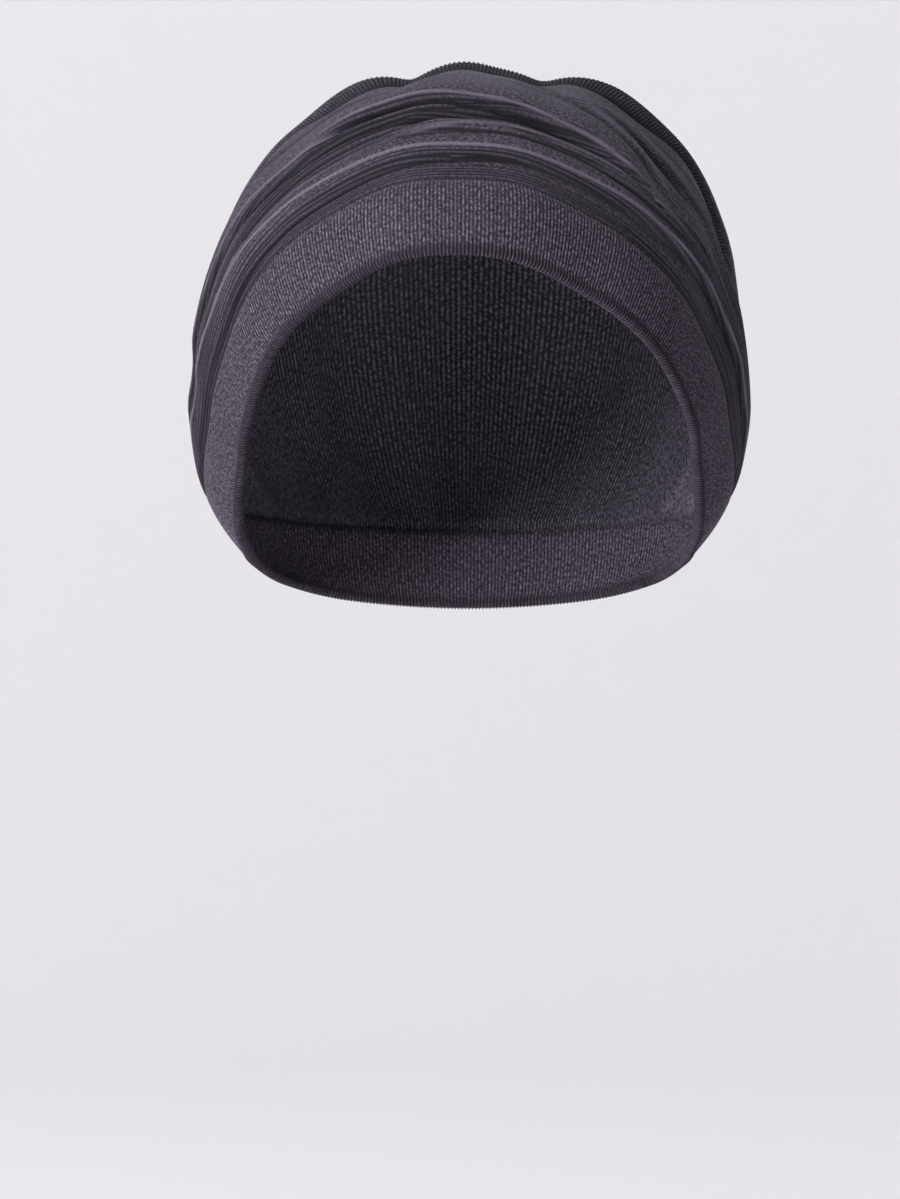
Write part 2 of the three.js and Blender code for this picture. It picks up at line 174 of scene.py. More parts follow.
# Waves along the crown's outline: name, at, wide and rise, as in the solids
CREST_WAVES = (
    ("left slope", -0.3, 0.05, -0.3),
    ("left shoulder", -0.18, 0.055, 0.7),
    ("left dip", -0.105, 0.035, -1),
    ("peak", -0.018, 0.05, 1.1),
    ("right dip", 0.115, 0.04, -1.2),
    ("right shoulder", 0.22, 0.07, 1.1),
    ("right slope", 0.38, 0.1, 0.7),
)

# Heights of the back panel's rim: name, at and wide along the seam, and millimetres over the front panel
RIM_PUFFS = (
    ("left rim", -0.2, 0.1, 2.6),
    ("crown rim", 0, 0.08, 1.2),
    ("right rim", 0.27, 0.1, 2.6),
    ("side rim", 0.52, 0.05, 1.6),
)

# Fine creases of the front panel, a row for each: name, the places along and across the panel where it
# starts and ends, and in millimetres its half width and its rise, which is negative for a valley.
CREASES = (
    ("pocket's depth", -0.09, 0.318, 0.22, 0.3, 1.7, -1.5),
    ("second crease", 0.04, 0.262, 0.3, 0.19, 0.9, -0.8),
    ("left ridge", -0.1, 0.19, 0.02, 0.26, 0.8, 0.6),
    ("steep wrinkle", 0.1, 0.86, 0.145, 0.6, 1.6, -0.7),
    ("right wrinkle", 0.14, 0.61, 0.3, 0.33, 1.5, -0.9),
    ("right wrinkle's ridge", 0.16, 0.64, 0.33, 0.36, 1.8, 0.7),
    ("outer wrinkle", 0.18, 0.67, 0.38, 0.45, 1.6, -0.9),
    ("outer wrinkle's ridge", 0.2, 0.75, 0.42, 0.5, 2, 0.6),
    ("far wrinkle", 0.3, 0.8, 0.56, 0.5, 1.8, -0.8),
    ("low right wrinkle", 0.3, 0.3, 0.64, 0.37, 1.2, -0.7),
    ("side wrinkle", 0.42, 0.42, 0.78, 0.46, 1.5, -0.8),
    ("shoulder crease", -0.48, 0.62, -0.1, 0.52, 2.4, -0.5),
    ("left crease", -0.7, 0.34, -0.3, 0.27, 1.3, -0.6),
    ("left crease's ridge", -0.75, 0.42, -0.28, 0.33, 1.3, 0.4),
)

# Rib pitch of the front panel, as a share of the band's: name, place across the panel and share
PANEL_PITCH = (
    ("hem", 0, 0.95),
    ("lower roll", 0.17, 0.95),
    ("left valley", 0.22, 1.6),
    ("below the lip", 0.33, 1.6),
    ("lip", 0.38, 1.05),
    ("panel", 0.5, 1.5),
)

# Ribs
SAMPLES_PER_RIB = 4  # mesh lines
RIB_MERGES = 4  # times that neighbouring ribs merge where the cloth is drawn together
MERGE_FROM = 0.47  # how sharply they merge, up to a half
MERGE_PITCH = 1.2  # share of the rib pitch under which they begin to merge
SPACING_SMOOTHING = 9  # samples over which their spacing is evened out
PACKED_FACING = (-0.1, 0.5)  # how far the cloth faces down to the band before its ribs lie close
PACKED_SIDES = (0.2, 0.42)  # how far the front panel narrows before its ribs lie close all over
SMOOTH_RIBS = 0.2  # depth of the ribs where the cloth is stretched, as a share of the full depth
FACE_RIBS = 0.62  # and on the band's face
ROLL_RIBS = 1.3  # and on its rolled edge
RIM_RIBS = 1.2  # and on the back panel's rim
BACK_RIBS = 0.8  # and on the rest of it
ROLL_GROOVE = 0.25 * MM  # depth of the groove beside the band's rolled edge

# Sewn edges
EDGE_ROUND = 0.9 * MM  # how far from a sewn edge the cloth turns in
EDGE_WALL = 0.35  # share of the wall that is left at the edge itself
SEAM_BLEND = 2.5 * MM  # over which a wall turns to face as the piece it is sewn to
SQUARE_FROM = 0.8  # towards an ear, where the panels' walls begin to turn square to the band
SQUARE_TO = 0.95  # and where they are
NAPE_LAP = 1.8 * MM  # how far the back panel laps over the band at the nape
NAPE_STEP = 2.1 * MM  # and how far it stands out there
NAPE_TURN = 4.5 * MM  # over which it steps out
LAP_FADE = (0.04, 0.2)  # from an ear, over which that lap comes up

# Painted shade and highlight in the cloth's colour, from -1, painted shade in a crevice, to 1, a painted
# highlight on a ridge
CREVICE = 0.9 * MM  # reach of the shade at the foot of a fold
CREST = 0.7 * MM  # and of the painted highlight along its ridge
FULL_PAINTED_LIGHT_RISE = 0.5  # share of the roll height from which a fold has its full painted shade and highlight
ROLL_PAINTED_SHADE = 0.35  # painted shade on the band's rolled edge
SEAM_PAINTED_SHADE = 0.8  # painted shade in the crevice along the seam with the band

# Noises of the jersey: name, scale across the ribs and along them, to a metre, and detail
JERSEY_NOISES = (
    ("fibres", 2100, 900, 2),
    ("yarn", 900, 160, 3),
    ("heather", 1050, 800, 1),
    ("mottle", 420, 560, 2),
    ("wear", 28, 22, 2),
)

# Layers of the jersey's colour, each over the one before: source, two values of it, the layer's strength at
# each of them, and its colour as shares of the yarn's red, green and blue
JERSEY_LAYERS = (
    ("fibres", 0.4, 0.64, 0, 1, (1.4, 1.4, 1.4)),
    ("yarn", 0.52, 0.62, 0, 0.4, (1.45, 1.22, 1.1)),
    ("yarn", 0.48, 0.38, 0, 0.45, (0.85, 0.93, 1.3)),
    ("mottle", 0.4, 0.62, 0, 0.3, (1.9, 1.9, 1.9)),
    ("heather", 0.5, 0.38, 0, 1, (0.3, 0.3, 0.3)),
    ("heather", 0.52, 0.66, 0, 1, (2.5, 2.5, 2.5)),
    # painted shade where the ribs lie close: on the undersides of folds, the band's rolled edge and the
    # back panel's rim
    ("packing", 0, 1, 0, 0.55, (0.1, 0.1, 0.1)),
    # painted shade in the valleys between the ribs
    ("rib", -0.55, 0.6, 0.96, 0, (0.1, 0.1, 0.1)),
    # a painted highlight on ridges, then painted shade in crevices
    ("painted_light", 0.1, 1, 0, 0.75, (2.2, 2.2, 2.2)),
    ("painted_light", 0, -1, 0, 0.85, (0.12, 0.12, 0.12)),
    ("wear", 0.3, 0.7, 0, 0.12, (1.7, 1.7, 1.7)),
)
DARK_FIBRES = (0.75, 0.75, 0.75)  # share of the yarn's colour under all of them
HEATHER = (0.88, 0.3)  # contrast of the mixed yarn on smooth cloth, and where the ribs lie close
LOOP_PITCH = 0.95 * MM  # of the stitches along a rib
LOOP_HEIGHT = 0.25  # their height, as a share of the fibres'
FIBRE_HEIGHT = 0.12 * MM
FIBRE_STRENGTH = 0.55
FIBRE_SPREAD = (0.3, 0.7)  # values of their noise between the fibres and on them
ROUGHNESS = (0.96, 0.82)  # the same for the cloth's roughness
SPECULAR = 0.12
SHEEN = 0.11
SHEEN_ROUGHNESS = 0.45
SHEEN_TINT = (0.72, 0.68, 0.80)

# Mesh steps
BAND_STEP = 0.05  # of a section, to find the band's directions
SMALL_STEP = 0.002  # of a seam's places, to find its direction
LINE_SAMPLES = 2400  # of a line whose length is measured
MIDDLE_PLACES = (-0.01, 0, 0.01)  # along the front panel, where its ribs are counted
FRONT_COLUMNS = 181  # ear to ear
EVENNESS = 0.6  # of the steps from ear to ear: under 1 sets them closer over the crown
RIM_STEPS = 16
RIM_END = 0.16  # depth of the first row past the rim
BACK_STEPS = 22  # from there to the lap
BACK_SKIP = 2  # rows of the back panel's outer layer to each row of its inner layer
LAP_START = 0.95  # depth of the first row of the lap at the nape
LAP_STEPS = 9
ROLL_STEPS = 12  # round the band's folded edge
FACE_STEPS = 14  # from there across the band
FACE_START = 0.12  # the first of them, as a share of its width
FACE_SPREAD = 1.5  # power by which they lie closer beside the fold

# Camera and studio
CAMERA_PLACE = (-6.2 * MM, -1800 * MM, -169.85 * MM)
FOCAL_PIXELS = 5538  # focal length, in pixels of the photo
PHOTO_HEIGHT = 1199  # pixels
SENSOR = 36.0  # millimetres
FAR_LIMIT = 50  # of what the camera sees
FLOOR_DROP = 0.25  # of the floor below the wrap
FLOOR_FRONT = -4.0  # the floor's front edge
BACKDROP_REACH = 2.4  # the backdrop's place behind the wrap
BACKDROP_TOP = 4.0
SWEEP_RADIUS = 1.2  # of the turn from floor to backdrop
SWEEP_STEPS = 24
STAGE_WIDTH = 9.0
# Soft lights: name, place, size, power in watts and colour
LIGHTS = (
    ("key", (-1.4, -1.7, 0.35), 0.8, 48, (1.0, 0.99, 0.98)),
    ("fill", (1.3, -1.9, 0.0), 1.2, 2.4, (0.95, 0.96, 1.0)),
    ("top", (-0.3, -0.5, 1.7), 1.0, 13, (1.0, 1.0, 1.0)),
)
WORLD_COLOUR = (0.92, 0.92, 0.95)
WORLD_STRENGTH = 0.09  # of the light from all around
WORLD_SEEN = 0.8  # its brightness to the camera
BACKDROP_LIGHTS = (-1.6, 1.6)  # places to the side of the two lights on the backdrop
BACKDROP_PLACE = (0.9, 0.5)  # and their places along and up
FLOOR_LIGHT = (0, -2.7, 1.9)  # place of the light on the floor
FLOOR_TARGET = (0, -3.7, -0.4)  # and what it is aimed at
PAPER_LIGHT = (1.5, 5.5, (1.0, 0.99, 1.0))  # size, power and colour of each of the three
PAPER_GLOW = 0.32  # light of its own
PAPER_ROUGHNESS = 0.95
PAPER_SPECULAR = 0.1


class TurbanSizes(bpy.types.PropertyGroup):
    """Sizes of the knit and of its folds."""

    cloth: bpy.props.FloatProperty(
        name="Cloth", description="Thickness of one layer",
        default=1.2 * MM, subtype="DISTANCE",
    )
    roll_rise: bpy.props.FloatProperty(
        name="Roll height", description="Height of the main roll",
        default=6 * MM, subtype="DISTANCE",
    )
    gather_rise: bpy.props.FloatProperty(
        name="Gather height", description="Height of the gathers at the nape",
        default=1.7 * MM, subtype="DISTANCE",
    )
    rib_pitch: bpy.props.FloatProperty(
        name="Rib pitch", description="From one rib to the next",
        default=1.2 * MM, subtype="DISTANCE",
    )
    rib_depth: bpy.props.FloatProperty(
        name="Rib depth", description="From a rib's crest to the valley beside it",
        default=0.5 * MM, subtype="DISTANCE",
    )


class TurbanColours(bpy.types.PropertyGroup):
    """Colours of the yarns and of the studio."""

    band: bpy.props.FloatVectorProperty(
        name="Band yarn", description="Main yarn of the head band", default=(0.092, 0.076, 0.106),
        subtype="COLOR", size=3, min=0, max=1,
    )
    drape: bpy.props.FloatVectorProperty(
        name="Drape yarn", description="Main yarn of the front drape", default=(0.087, 0.076, 0.103),
        subtype="COLOR", size=3, min=0, max=1,
    )
    back: bpy.props.FloatVectorProperty(
        name="Back yarn", description="Main yarn of the back panel", default=(0.098, 0.088, 0.116),
        subtype="COLOR", size=3, min=0, max=1,
    )
    floor: bpy.props.FloatVectorProperty(
        name="Studio", description="Floor and backdrop", default=(0.78, 0.77, 0.80),
        subtype="COLOR", size=3, min=0, max=1,
    )


def bell(distance, width):
    """1 in the middle, falling smoothly to 0 past the width."""
    return np.exp(-((distance / width) ** 2))


def plateau(distance, width):
    """The same with a flatter top."""
    return np.exp(-(np.abs(distance / width) ** 3))


def smoothstep(value, low, high):
    """0 up to the low value, 1 from the high one, and smooth between."""
    share = np.clip((value - low) / (high - low), 0, 1)
    return share * share * (3 - 2 * share)


def unit(vectors):
    return vectors / np.linalg.norm(vectors, axis=-1, keepdims=True)


def length_of(vectors):
    return np.linalg.norm(vectors, axis=-1, keepdims=True)


HUB_POINT = np.array([0, HUB_BACK * NAPE_REACH, -HUB_DOWN * NAPE_DROP])


def band_tables():
    """Front edge and strip vector at each section, right half first, then its mirror image."""
    edges = []
    strips = []
    for _, out, along, up, width, flare, rake in BAND_SECTIONS:
        reach = BROW_REACH if along < 0 else NAPE_REACH
        rise = BROW_RISE if up > 0 else NAPE_DROP
        edges.append((out * OPENING_WIDTH / 2, along * reach, up * rise))
        flare, rake = np.radians(flare), np.radians(rake)
        direction = np.array([np.sin(flare), np.cos(flare) * np.sin(rake), np.cos(flare) * np.cos(rake)])
        strips.append(direction * width * BAND_WIDTH)
    mirror = np.array([-1, 1, 1])
    edges, strips = np.array(edges), np.array(strips)
    return (
        np.concatenate([edges, edges[-2:0:-1] * mirror]),
        np.concatenate([strips, strips[-2:0:-1] * mirror]),
    )


EDGE_ROWS, STRIP_ROWS = band_tables()


def through_rows(rows, station):
    """Closed smooth curve through the rows, at each station."""
    place = np.mod(station, FULL_TURN)
    first = np.floor(place).astype(int)
    t = (place - first)[..., None]
    p0, p1, p2, p3 = (rows[(first + shift) % FULL_TURN] for shift in (-1, 0, 1, 2))
    start, finish = (p2 - p0) / 2, (p3 - p1) / 2
    return (
        (2 * p1 - 2 * p2 + start + finish) * t**3
        + (-3 * p1 + 3 * p2 - 2 * start - finish) * t**2
        + start * t
        + p1
    )


def band_at(station):
    """Front edge, strip vector and sewn edge of the band at each station."""
    station = np.asarray(station, float)
    edge = through_rows(EDGE_ROWS, station)
    strip = through_rows(STRIP_ROWS, station)
    edge[..., 0] -= BAND_LEAN * np.maximum(0, edge[..., 2] / BROW_RISE) ** LEAN_POWER
    return edge, strip, edge + strip


def band_frame(station):
    """Front edge, strip length, direction across the strip and outward direction."""
    station = np.asarray(station, float)
    edge, strip, _ = band_at(station)
    forward = unit(band_at(station + BAND_STEP)[0] - band_at(station - BAND_STEP)[0])
    across = unit(strip)
    return edge, length_of(strip), across, unit(np.cross(forward, across))


def seam_foot(side):
    """Where the rear seam stands on the band at one ear."""
    _, strip, seam = band_at(side * (JOIN_SECTION - SEAM_SLANT))
    return seam + unit(strip) * SEAM_MEET


SEAM_FEET = (seam_foot(-1), seam_foot(1))


def rim_height(u):
    """Height of the back panel's rim above the front panel along the rear seam."""
    return sum(rise * MM * plateau(u - at, wide) for _, at, wide, rise in RIM_PUFFS)


def rear_seam(u):
    """Seam over the crown, from ear -1 to ear 1."""
    u = np.asarray(u, float)
    out, up = np.sin(np.pi / 2 * u), np.cos(np.pi / 2 * u)
    sideways = np.abs(2 * out / CROWN_WIDTH) ** SQUARENESS
    radius = (sideways + np.abs(up / CROWN_RISE) ** SQUARENESS) ** (-1 / SQUARENESS)
    arch = np.stack([radius * out + CROWN_LEAN * up, SEAM_SETBACK + SEAM_RAKE * (1 - up), radius * up], -1)
    wave = sum(rise * bell(u - at, wide) for _, at, wide, rise in CREST_WAVES)
    arch += unit(arch - HUB_POINT) * (wave * CREST_RISE - rim_height(u))[..., None]
    foot = np.where(u[..., None] < 0, SEAM_FEET[0], SEAM_FEET[1])
    turned = (np.abs(u) ** SEAM_TURN)[..., None]
    return arch + (foot - arch) * turned


def seam_edge(u, side):
    """Edge of the front panel (side -1) or of the back panel (side 1) along the rear seam."""
    tangent = rear_seam(np.minimum(u + SMALL_STEP, 1)) - rear_seam(np.maximum(u - SMALL_STEP, -1))
    middle = rear_seam(u)
    away = unit(np.cross(unit(middle - HUB_POINT), tangent))
    return middle + away * side * GAP / 2


def between(start, finish, share, side, swell):
    """Points between two seams, turned about the hub from the first to the second."""
    a, b = start - HUB_POINT, finish - HUB_POINT
    length_a, length_b = length_of(a), length_of(b)
    a, b = a / length_a, b / length_b
    angle = np.arccos(np.clip((a * b).sum(-1, keepdims=True), -1, 1))
    share = share[..., None]
    radius = length_a + (length_b - length_a) * share
    direction = (a * np.sin((1 - share) * angle) + b * np.sin(share * angle)) / np.sin(angle)
    moved = np.stack([side, swell, swell], -1) * direction
    return direction * radius + HUB_POINT + moved


def panel_depth(u):
    """Distance from the band to the rear seam."""
    return length_of(band_at(JOIN_SECTION * u)[2] - rear_seam(u))[..., 0]


MIDDLE_DEPTH = panel_depth(np.zeros(1))[0]


def front_base(u, v):
    """Front panel without its folds, on a grid of u from ear to ear and v from band to rear seam."""
    start = band_at(JOIN_SECTION * u)[2]
    finish = seam_edge(u, -1)
    first = GAP / length_of(start - finish)[..., 0]
    share = first + (1 - first) * v
    bow = np.sin(np.pi * share)
    side = SIDE_FULLNESS * bow * np.sin(np.pi * u**2)
    return between(start, finish, share, side, CROWN_FULLNESS * bow * panel_depth(u) / MIDDLE_DEPTH)


def nape_station(u):
    """Station on the band under each place of the back panel."""
    side = np.where(u < 0, -1, 1)
    return side * (HALF_TURN - (HALF_TURN - JOIN_SECTION) * np.abs(u))


def back_base(u, w):
    """Back panel without its rim and gathers, on a grid of u from ear to ear and w from seam to nape."""
    start = seam_edge(u, 1)
    finish = band_at(nape_station(u))[2]
    share = w * (1 - GAP / length_of(start - finish)[..., 0])
    narrowing = np.cos(np.pi / 2 * u) ** BACK_NARROWING
    swell = BACK_FULLNESS * np.sin(np.pi * share**BACK_SAG) * narrowing
    return between(start, finish, share, 0 * share, swell)


def grid_frame(points):
    """Normals of a grid of points, and the direction in which its second index grows."""
    down = np.gradient(points, axis=1)
    normal = unit(np.cross(np.gradient(points, axis=0), down))
    return normal, unit(down)


def curve_through(u, start, end, places):
    """Place across the panel of a curve through three places, and how far the curve has come up."""
    share = np.clip((u - start) / (end - start), 0, 1)
    first, middle, last = places
    across = first * (1 - share) * (1 - 2 * share) + middle * 4 * share * (1 - share)
    across = across + last * share * (2 * share - 1)
    return across, smoothstep(share, 0, FOLD_FADE) * smoothstep(1 - share, 0, FOLD_FADE)


def crease_amount(u, v, row):
    """Height of one fine crease over the panel, in metres."""
    _, start_u, start_v, end_u, end_v, wide, rise = row
    run, climb = (end_u - start_u) * CREASE_SPAN, (end_v - start_v) * MIDDLE_DEPTH
    x, y = (u - start_u) * CREASE_SPAN, (v - start_v) * MIDDLE_DEPTH
    share = (x * run + y * climb) / (run**2 + climb**2)
    away = (x * climb - y * run) / np.hypot(run, climb)
    fade = smoothstep(share, *CREASE_FADE) * smoothstep(1 - share, *CREASE_FADE)
    return rise * MM * bell(away, wide * MM) * fade


def front_surface(u, v, roll_rise):
    """Front panel with its folds, its painted shade and highlight, and how closely its ribs are packed.

    The painted light runs from -1, painted shade in the crevice at a fold's foot, to 1, a painted highlight
    on a ridge."""
    base = front_base(u, v)
    normal, along = grid_frame(base)
    depth = panel_depth(u)
    scale = depth / MIDDLE_DEPTH
    size = scale * smoothstep(scale, SMALLEST_FOLD, LARGEST_FOLD)
    rise, lean, painted_light = np.zeros_like(u), np.zeros_like(u), np.zeros_like(u)
    for _, start, end, feet, ridges, tail, fold_rise, fold_lean in FOLDS:
        foot, fade = curve_through(u, start, end, feet)
        ridge, _ = curve_through(u, start, end, ridges)
        above = bell((v - ridge) * depth, tail * MM)
        amount = np.where(v < ridge, rounded(v - foot, ridge - foot), above) * fade * size
        rise += fold_rise * amount * roll_rise
        lean += fold_lean * amount * roll_rise
        # painted highlight along each fold's ridge and painted shade in the crevice at its foot
        strength = fade * min(1, abs(fold_rise) / FULL_PAINTED_LIGHT_RISE) * np.sign(fold_rise)
        painted_light += strength * (bell((v - ridge) * depth, CREST) - bell((v - foot) * depth, CREVICE))
    for _, at, wide, drift, centre, reach, fold_rise in BROAD_FORMS:
        away = u - centre
        rise += fold_rise * plateau(v - at - drift * away, wide) * plateau(away, reach) * size * roll_rise
    fade = np.minimum(1, v / FLAT_HEM)
    folded = base + normal * (rise * fade)[..., None] - along * (lean * fade)[..., None]
    creases = sum(crease_amount(u, v, row) for row in CREASES) * size
    folded = folded + grid_frame(folded)[0] * creases[..., None]
    facing = -(grid_frame(folded)[0] * along).sum(-1)
    packed = np.maximum(smoothstep(facing, *PACKED_FACING), smoothstep(1 - scale, *PACKED_SIDES))
    for _, start, end, places, reach in RIBBED_ZONES:
        across, fade = curve_through(u, start, end, places)
        packed = np.maximum(packed, fade * plateau((v - across) * depth, reach * MM))
    # painted shade in the crevice along the seam with the band
    painted_light -= SEAM_PAINTED_SHADE * bell(v * depth, CREVICE / 2)
    # the creases add painted shade along their valleys and painted highlights along their ridges
    return folded, np.clip(painted_light + creases / MM, -1, 1), packed


def back_surface(u, w, gather_rise):
    """Back panel with its puffed rim and its gathers."""
    base = back_base(u, w)
    normal, _ = grid_frame(base)
    height = RIM_RISE * plateau(u - RIM_CENTRE, RIM_REACH) + rim_height(u)
    rim = height * rounded(w, RIM_PLACE / 2) * bell(np.maximum(0, w - RIM_PLACE), RIM_PLACE)
    wave = np.cos(2 * np.pi * GATHERS * u)
    gather = gather_rise * wave * np.sin(np.pi * w**GATHER_DROP) * np.cos(np.pi / 2 * u)
    return base + normal * (rim + gather)[..., None]


def even_ribs(line, places, pitch):
    """Places along a line of points, as many to each rib, for one pitch or a pitch at each point."""
    pitches = np.broadcast_to(pitch, len(places))
    lengths = np.linalg.norm(np.diff(line, axis=0), axis=1) / ((pitches[1:] + pitches[:-1]) / 2)
    lengths = np.concatenate([[0], np.cumsum(lengths)])
    count = int(round(lengths[-1]))
    steps = np.linspace(0, lengths[-1], count * SAMPLES_PER_RIB + 1)
    return np.interp(steps, lengths, places)


def rounded(distance, reach):
    """1 inside a sheet, falling to 0 at its edge on a quarter circle."""
    share = np.clip(distance / reach, 0, 1)
    return np.sqrt(1 - (1 - share) ** 2)


def make_mesh(name, points, squares, triangles, place, rib, painted_light):
    """Blender mesh with smooth faces, the cloth's own coordinates, the height of its ribs and its painted
    shade and highlight.
    """
    mesh = bpy.data.meshes.new(name)
    corners = np.concatenate([squares.ravel(), triangles.ravel()]).astype(np.int32)
    starts = np.arange(0, squares.size, 4)
    starts = np.concatenate([starts, squares.size + np.arange(0, triangles.size, 3)]).astype(np.int32)
    mesh.vertices.add(len(points))
    placed = points - np.array([0, 0, ORIGIN_RISE])
    mesh.vertices.foreach_set("co", placed.astype(np.float32).ravel())
    mesh.loops.add(len(corners))
    mesh.loops.foreach_set("vertex_index", corners)
    mesh.polygons.add(len(starts))
    mesh.polygons.foreach_set("loop_start", starts)
    mesh.polygons.foreach_set("use_smooth", np.ones(len(starts), bool))
    mesh.update(calc_edges=True)
    if mesh.validate():
        raise RuntimeError(f"{name}: the mesh had faults")
    for title, kind, field, values in (
        ("cloth_place", "FLOAT_VECTOR", "vector", place),
        ("rib_height", "FLOAT", "value", rib),
        ("painted_shade_and_highlight", "FLOAT", "value", painted_light),
    ):
        layer = mesh.attributes.new(title, kind, "POINT")
        layer.data.foreach_set(field, np.asarray(values, np.float32).ravel())
    piece = bpy.data.objects.new(name, mesh)
    bpy.context.scene.collection.objects.link(piece)
    return piece


def quads(a, b, c, d):
    """Rows of four corners from four grids of them."""
    return np.stack([a, b, c, d], -1).reshape(-1, 4)


EAR_TO_EAR = 1 - GAP / CROWN_WIDTH


def ear_to_ear(count):
    """Places from ear to ear, closer together over the crown."""
    t = np.linspace(-1, 1, count)
    return EAR_TO_EAR * t * (EVENNESS + (1 - EVENNESS) * t * t)


def grid(across, down):
    """Two grids, with the first line of values along the first index and the second along the second."""
    return np.meshgrid(across, down, indexing="ij")


def arc_lengths(points, axis):
    """Length along each line of a grid, from its first point."""
    steps = np.linalg.norm(np.diff(points, axis=axis), axis=-1)
    start = np.zeros_like(np.take(steps, [0], axis))
    return np.concatenate([start, np.cumsum(steps, axis)], axis)


def seam_turned(normal, points, u, first, last):
    """Wall directions that turn, at the sewn edges, to those of the piece that the edge is sewn to."""
    along = arc_lengths(points, 1)
    to_first = np.exp(-((along / SEAM_BLEND) ** 2))[..., None]
    to_last = np.exp(-(((along[:, -1:] - along) / SEAM_BLEND) ** 2))[..., None]
    normal = normal * (1 - to_first) + first * to_first
    normal = normal * (1 - to_last) + last * to_last
    foot = band_frame(np.sign(u) * JOIN_SECTION)[3]
    square = smoothstep(np.abs(u), SQUARE_FROM, SQUARE_TO)[..., None]
    return unit(normal * (1 - square) + foot * square)


def edge_round(points, u):
    """Share of the full wall at each point of a panel: the cloth thins where it turns in at its edges."""
    along = arc_lengths(points, 1)
    from_seam = np.minimum(along, along[:, -1:] - along)
    return EDGE_WALL + (1 - EDGE_WALL) * rounded(from_seam, EDGE_ROUND)


def crowded(middle, pitch):
    """How many times closer than the pitch the ribs lie at each point, as a power of two."""
    spacing = np.linalg.norm(np.gradient(middle, axis=1), axis=-1) * SAMPLES_PER_RIB
    level = np.clip(np.log2(pitch / spacing), 0, RIB_MERGES - 1)
    ends = np.pad(level, ((0, 0), (SPACING_SMOOTHING, SPACING_SMOOTHING)), mode="edge")
    total = np.cumsum(ends, 1)
    window = 2 * SPACING_SMOOTHING
    return (total[:, window:] - total[:, :-window]) / window


def rib_octaves(index, level):
    """Height of ribs whose neighbours merge two by two where the cloth is drawn together."""
    height = np.zeros_like(level)
    for octave in range(RIB_MERGES):
        share = smoothstep(1 - np.abs(level - octave), MERGE_FROM, 1 - MERGE_FROM)
        height += share * np.cos(2 * np.pi * index / (SAMPLES_PER_RIB * 2**octave))
    return height


def panel_piece(name, middle, normal, wall, rib, place, painted_light, skip):
    """Closed sheet over a grid of points: a fine outer layer with ribs, and an inner one.

    The inner layer keeps one row in each skip rows."""
    columns, rows = middle.shape[:2]
    outer = middle + normal * (wall / 2 + rib["depth"] * rib["height"])[..., None]
    inner = (middle - normal * (wall / 2 + rib["depth"] * rib["inner"])[..., None])[:, ::skip]
    inner_rows = inner.shape[1]
    points = np.concatenate([outer.reshape(-1, 3), inner.reshape(-1, 3)])
    place = np.concatenate([place.reshape(-1, 3), place[:, ::skip].reshape(-1, 3)])
    heights = np.concatenate([rib["height"].ravel(), rib["inner"][:, ::skip].ravel()])
    painted_lights = np.concatenate([painted_light.ravel(), np.zeros(columns * inner_rows)])
    o = np.arange(columns * rows).reshape(columns, rows)
    i = columns * rows + np.arange(columns * inner_rows).reshape(columns, inner_rows)
    squares = [
        quads(o[:-1, :-1], o[1:, :-1], o[1:, 1:], o[:-1, 1:]),
        quads(i[:-1, :-1], i[:-1, 1:], i[1:, 1:], i[1:, :-1]),
        quads(o[:-1, 0], i[:-1, 0], i[1:, 0], o[1:, 0]),
        quads(o[:-1, -1], o[1:, -1], i[1:, -1], i[:-1, -1]),
    ]
    triangles = []
    for k in range(inner_rows - 1):
        for j in range(k * skip, (k + 1) * skip):
            triangles.append((o[0, j], o[0, j + 1], i[0, k]))
            triangles.append((o[-1, j + 1], o[-1, j], i[-1, k]))
        triangles.append((o[0, (k + 1) * skip], i[0, k + 1], i[0, k]))
        triangles.append((i[-1, k + 1], o[-1, (k + 1) * skip], i[-1, k]))
    return make_mesh(name, points, np.concatenate(squares), np.array(triangles), place, heights, painted_lights)


def front_drape(sizes):
    """Front panel, with ribs that run along its folds."""
    places = np.linspace(0, 1, LINE_SAMPLES)
    middle_line = front_surface(*grid(np.array(MIDDLE_PLACES), places), sizes.roll_rise)[0][1]
    _, across, shares = zip(*PANEL_PITCH)
    v = even_ribs(middle_line, places, sizes.rib_pitch * np.interp(places, across, shares))
    u = ear_to_ear(FRONT_COLUMNS)
    u, v = grid(u, v)
    middle, painted_light, packed = front_surface(u, v, sizes.roll_rise)
    normal = grid_frame(middle)[0]
    band_side = band_frame(JOIN_SECTION * u)[3]
    seam_side = unit(rear_seam(u) - HUB_POINT)
    normal = seam_turned(normal, middle, u, band_side, seam_side)
    edge = edge_round(middle, u)
    index = np.broadcast_to(np.arange(v.shape[1]), v.shape)
    height = rib_octaves(index, crowded(middle, sizes.rib_pitch * MERGE_PITCH)) * edge
    height *= SMOOTH_RIBS + (1 - SMOOTH_RIBS) * packed
    rib = {"height": height, "inner": 0 * height, "depth": sizes.rib_depth / 2}
    along = arc_lengths(middle, 0)
    # the third place is how closely the ribs lie, which also sets painted shade in the colour
    place = np.stack([index / SAMPLES_PER_RIB * sizes.rib_pitch, along, packed], -1)
    wall = sizes.cloth * edge
    return panel_piece("front_drape_cloth", middle, normal, wall, rib, place, painted_light, SAMPLES_PER_RIB)


def lapped(points, u):
    """Back panel whose lower edge laps over the outside of the band at the nape."""
    _, _, across, outward = band_frame(nape_station(u))
    lengths = arc_lengths(points, 1)
    turn = 1 - smoothstep(lengths[:, -1:] - lengths, 0, NAPE_TURN)
    turn = (turn * smoothstep(1 - np.abs(u), *LAP_FADE))[..., None]
    return points + (outward * NAPE_STEP - across * NAPE_LAP) * turn


